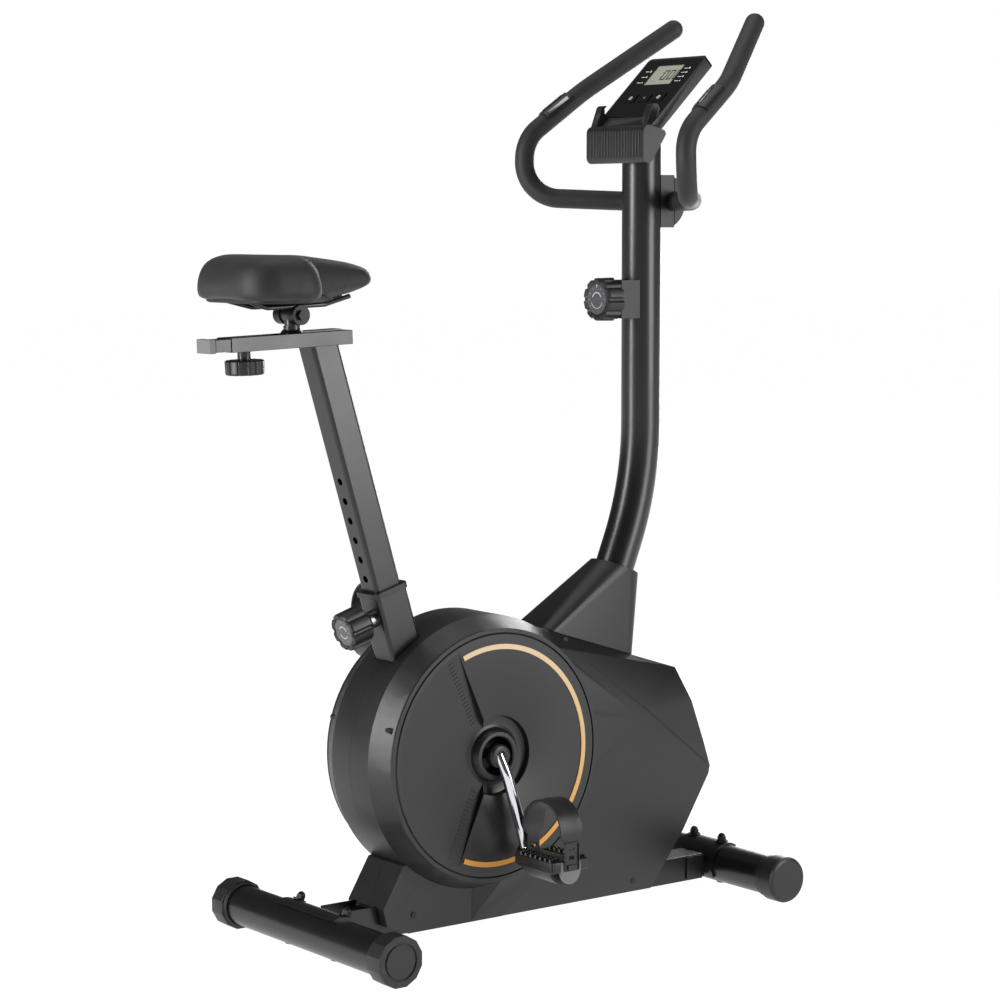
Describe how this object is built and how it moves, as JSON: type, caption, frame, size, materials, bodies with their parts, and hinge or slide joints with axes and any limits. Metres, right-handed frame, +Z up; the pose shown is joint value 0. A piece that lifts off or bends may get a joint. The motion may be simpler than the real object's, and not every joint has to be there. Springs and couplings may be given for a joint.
{
  "type": "exercise bike",
  "caption": "Upright magnetic exercise bike: round drive casing with side discs, leaning seat post, saddle on a slide, curved upright, looped handlebar and console.",
  "frame": {"origin": "on the floor, at the centre of the bike's length and width", "axes": "+X forward, the way the rider faces; +Y to the rider's left; +Z up"},
  "size_m": [0.9657, 0.44, 1.369],
  "materials": {
    "frame_paint": "satin powder coat",
    "slide_paint": "satin powder coat",
    "casing_plastic": "fine moulded grain, satin",
    "ring_gold": "printed ring, semi gloss",
    "cap_plastic": "moulded, matte",
    "fastener_zinc": "bright zinc plate",
    "fastener_black": "black oxide",
    "knob_plastic": "moulded, matte",
    "strap_rubber": "matte",
    "console_black": "printed, semi gloss",
    "lcd": "grey-green display window",
    "end_plug_grey": "moulded, matte",
    "saddle_cover": "grained vinyl, satin",
    "crank_chrome": "polished",
    "flywheel_iron": "turned and painted",
    "foam": "closed-cell foam, matte",
    "sensor_steel": "thin plated contact plate"
  },
  "bodies": {
    "frame": {"frame_beam": "frame_paint", "rear_bracket": "frame_paint", "front_bracket": "frame_paint", "seat_socket": "frame_paint", "socket_bush": "casing_plastic", "front_upright": "frame_paint", "main_post": "frame_paint", "drive_cradle": "frame_paint", "casing_left": "casing_plastic", "casing_right": "casing_plastic", "disc_left": "casing_plastic", "disc_right": "casing_plastic", "ring_left": "ring_gold", "ring_right": "ring_gold", "post_boot": "casing_plastic", "rear_stabiliser": "frame_paint", "front_stabiliser": "frame_paint", "cap_nuts": "fastener_zinc", "casing_screws": "fastener_black", "pin_collar": "fastener_zinc", "tension_housing": "casing_plastic", "bar_clamp": "frame_paint", "clamp_cover": "casing_plastic", "console_shell": "casing_plastic", "console_face": "console_black", "lcd_glass": "lcd", "drive_belt": "strap_rubber"},
    "seat_mast": {"seat_post": "frame_paint", "seat_channel": "frame_paint"},
    "saddle_carriage": {"seat_slide": "slide_paint", "slide_cap": "end_plug_grey", "saddle_stem": "slide_paint"},
    "saddle": {"saddle_clamp": "fastener_black", "saddle_rails": "fastener_zinc", "saddle_pan": "knob_plastic", "saddle_pad": "saddle_cover"},
    "slide_clamp_knob": {"slide_knob": "knob_plastic"},
    "pull_pin": {"pull_knob": "knob_plastic"},
    "crankset": {"crank_axle": "fastener_zinc", "crank_left": "crank_chrome", "crank_right": "crank_chrome", "drive_pulley": "knob_plastic"},
    "left_pedal": {"pedal_left": "knob_plastic", "strap_left": "strap_rubber"},
    "right_pedal": {"pedal_right": "knob_plastic", "strap_right": "strap_rubber"},
    "flywheel_set": {"flywheel": "flywheel_iron"},
    "magnet_set": {"magnet_arm": "fastener_zinc"},
    "tension_dial": {"tension_knob": "knob_plastic"},
    "handlebar": {"handlebar_tube": "frame_paint", "foam_left": "foam", "foam_right": "foam", "pulse_sensors": "sensor_steel"},
    "key_left": {"button_left": "console_black"},
    "key_middle": {"button_middle": "console_black"},
    "key_right": {"button_right": "console_black"},
    "left_foot_cap": {"rear_cap_left": "cap_plastic"},
    "right_foot_cap": {"rear_cap_right": "cap_plastic"},
    "left_roller": {"front_roller_left": "cap_plastic"},
    "right_roller": {"front_roller_right": "cap_plastic"}
  },
  "joints": [
    {"name": "seat_height", "type": "slide", "parent": "frame", "child": "seat_mast", "axis": [-0.289, 0, 0.9573], "range_m": [-0.21, 0.06]},
    {"name": "saddle_fore_aft", "type": "slide", "parent": "seat_mast", "child": "saddle_carriage", "axis": [0.9994, 0, 0.0349], "range_m": [-0.058, 0.022]},
    {"name": "saddle_tilt", "type": "hinge", "parent": "saddle_carriage", "child": "saddle", "pos_m": [-0.33826, 0, 0.92228], "axis": [0, 1, 0], "range_deg": [-12, 12]},
    {"name": "slide_knob_turn", "type": "hinge", "parent": "seat_mast", "child": "slide_clamp_knob", "pos_m": [-0.4159, 0, 0.85353], "axis": [-0.0349, 0, 0.9994], "range_deg": [0, 540]},
    {"name": "pull_pin_slide", "type": "slide", "parent": "frame", "child": "pull_pin", "axis": [-0.9573, 0, -0.289], "range_m": [0, 0.012], "stiffness_N_per_m": 900},
    {"name": "flywheel_spin", "type": "hinge", "parent": "frame", "child": "flywheel_set", "pos_m": [0.285, 0, 0.18], "axis": [0, 1, 0], "continuous": true},
    {"name": "crank_spin", "type": "hinge", "parent": "frame", "child": "crankset", "pos_m": [-0.0395, 0, 0.2729], "axis": [0, 1, 0], "continuous": true},
    {"name": "pedal_left_spin", "type": "hinge", "parent": "crankset", "child": "left_pedal", "pos_m": [-0.07279, 0.172, 0.41711], "axis": [0, 1, 0], "continuous": true},
    {"name": "pedal_right_spin", "type": "hinge", "parent": "crankset", "child": "right_pedal", "pos_m": [-0.00621, -0.172, 0.12869], "axis": [0, 1, 0], "continuous": true},
    {"name": "tension_turn", "type": "hinge", "parent": "frame", "child": "tension_dial", "pos_m": [0.244, 0, 0.934], "axis": [1, 0, 0], "range_deg": [0, 300]},
    {"name": "magnet_swing", "type": "hinge", "parent": "frame", "child": "magnet_set", "pos_m": [0.267, 0, 0.2824], "axis": [0, 1, 0], "range_deg": [0, 2]},
    {"name": "handlebar_tilt", "type": "hinge", "parent": "frame", "child": "handlebar", "pos_m": [0.348, 0, 1.083], "axis": [0, 1, 0], "range_deg": [-25, 25]},
    {"name": "key_left_press", "type": "slide", "parent": "frame", "child": "key_left", "axis": [0.6947, 0, -0.7193], "range_m": [0, 0.001], "stiffness_N_per_m": 800},
    {"name": "key_middle_press", "type": "slide", "parent": "frame", "child": "key_middle", "axis": [0.6947, 0, -0.7193], "range_m": [0, 0.001], "stiffness_N_per_m": 800},
    {"name": "key_right_press", "type": "slide", "parent": "frame", "child": "key_right", "axis": [0.6947, 0, -0.7193], "range_m": [0, 0.001], "stiffness_N_per_m": 800},
    {"name": "foot_cap_left_turn", "type": "hinge", "parent": "frame", "child": "left_foot_cap", "pos_m": [-0.309, 0.2, 0.03613], "axis": [0, 1, 0], "continuous": true},
    {"name": "roller_left_spin", "type": "hinge", "parent": "frame", "child": "left_roller", "pos_m": [0.4473, 0.167, 0.0355], "axis": [0, 1, 0], "continuous": true},
    {"name": "foot_cap_right_turn", "type": "hinge", "parent": "frame", "child": "right_foot_cap", "pos_m": [-0.309, -0.2, 0.03613], "axis": [0, 1, 0], "continuous": true},
    {"name": "roller_right_spin", "type": "hinge", "parent": "frame", "child": "right_roller", "pos_m": [0.4473, -0.167, 0.0355], "axis": [0, 1, 0], "continuous": true}
  ],
  "couplings": [
    {"joint": "crank_spin", "follows": "flywheel_spin", "ratio": 0.24348},
    {"joint": "magnet_swing", "follows": "tension_turn", "ratio": 0.006667}
  ]
}
